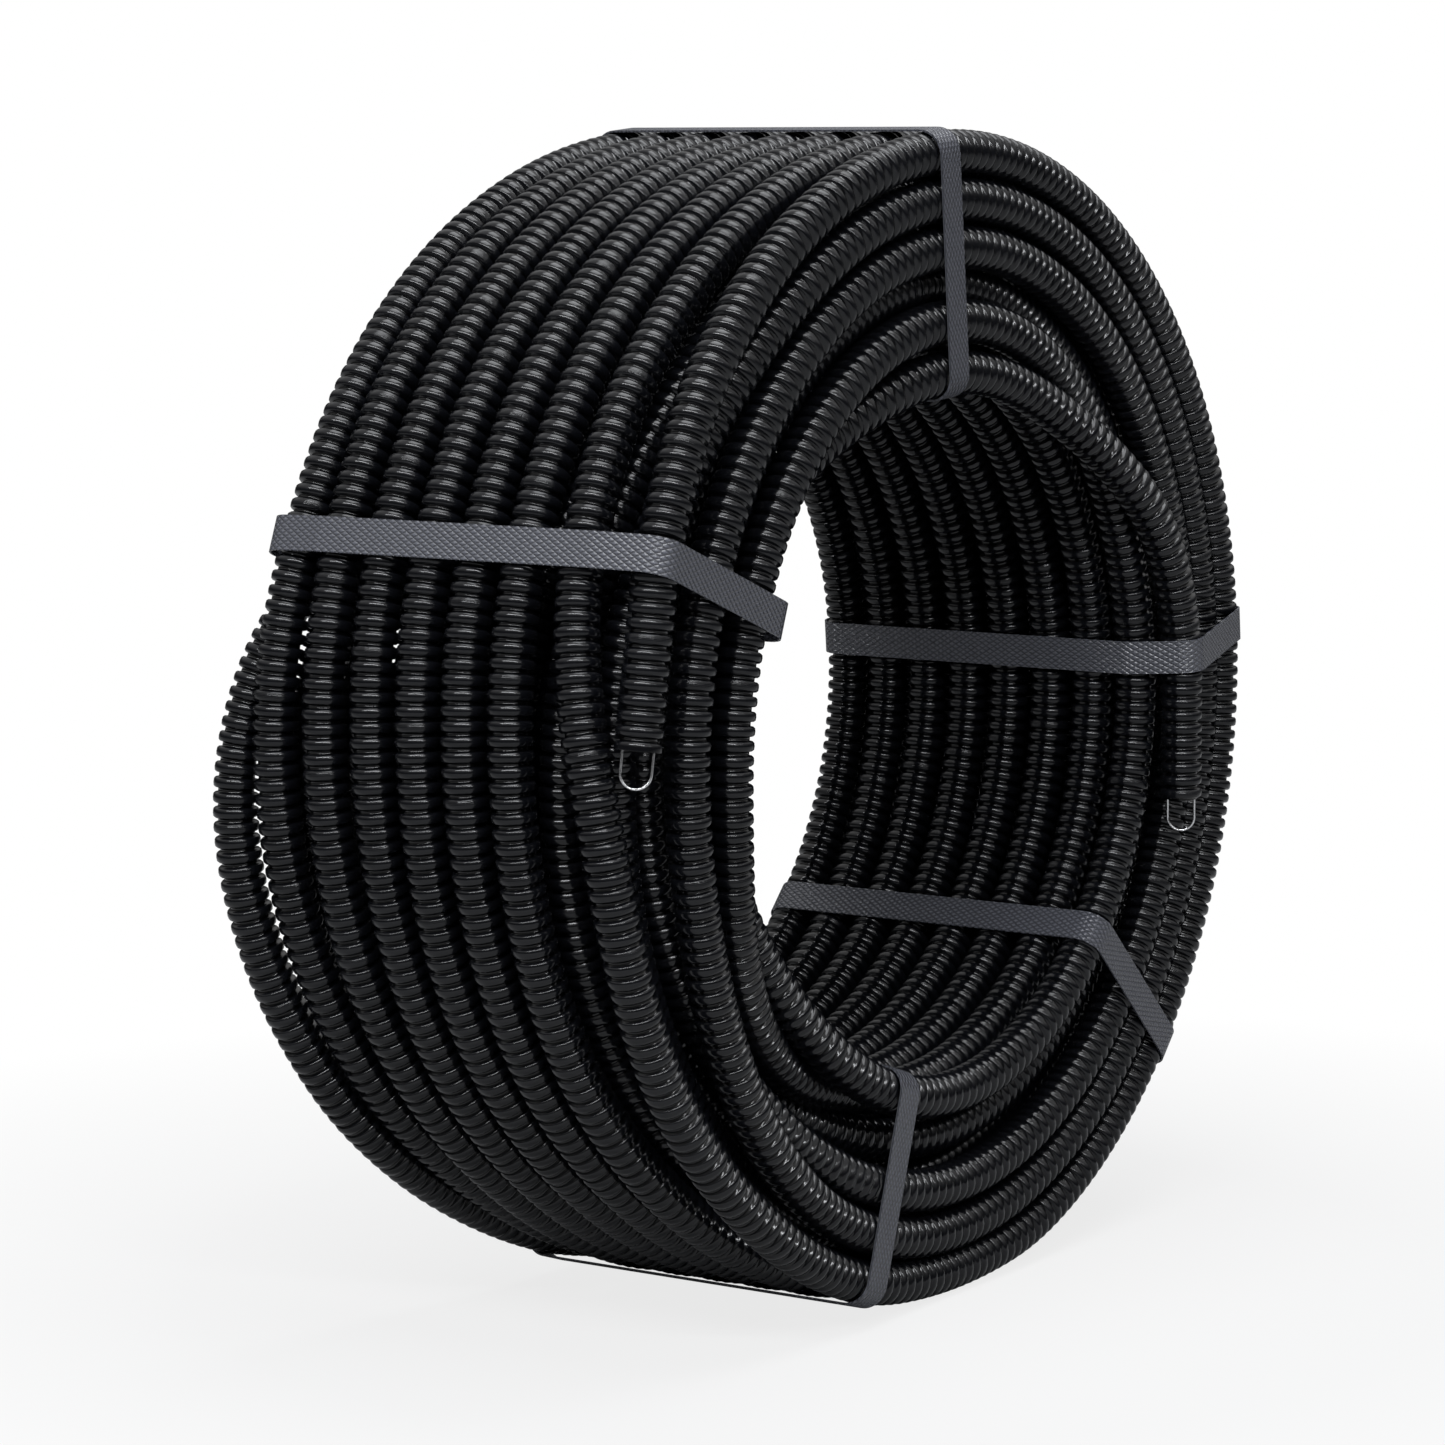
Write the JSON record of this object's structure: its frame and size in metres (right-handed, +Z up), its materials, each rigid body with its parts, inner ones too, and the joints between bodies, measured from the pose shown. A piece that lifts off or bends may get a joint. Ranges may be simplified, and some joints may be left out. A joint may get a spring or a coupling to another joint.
{
  "type": "coil of corrugated hose",
  "caption": "Tied coil of small black corrugated hose standing on its rim, with a steel draw wire looped at both hose ends and flat grey plastic straps.",
  "frame": {"origin": "on the foot that the coil stands on, below its axis and under the turn next to the middle of its width", "axes": "+Z up, +Y along the coil's axis towards the far face, +X towards the strap at the right"},
  "size_m": [0.4371, 0.1989, 0.4288],
  "materials": {
    "hose": "satin black polypropylene",
    "strap": "embossed grey polypropylene",
    "draw_wire": "bright drawn steel"
  },
  "bodies": {
    "tied_coil": {"hose_coil": "hose", "hose_first_turn": "hose", "hose_inner_end": "hose", "hose_last_turn": "hose", "hose_loose_turn": "hose", "hose_outer_end": "hose", "strap_bottom": "strap", "strap_left": "strap", "strap_lower_right": "strap", "strap_right": "strap", "strap_top": "strap"},
    "outer_wire": {"draw_wire_outer_loop": "draw_wire"},
    "inner_wire": {"draw_wire_inner_loop": "draw_wire"}
  },
  "joints": [
    {"name": "outer_wire_pull", "type": "slide", "parent": "tied_coil", "child": "outer_wire", "axis": [-0.1736, 0, -0.9848], "range_m": [-0.012, 0.012]},
    {"name": "inner_wire_pull", "type": "slide", "parent": "tied_coil", "child": "inner_wire", "axis": [0.0087, 0, -1], "range_m": [-0.012, 0.012]}
  ],
  "couplings": [
    {"joint": "inner_wire_pull", "follows": "outer_wire_pull", "ratio": -1}
  ]
}
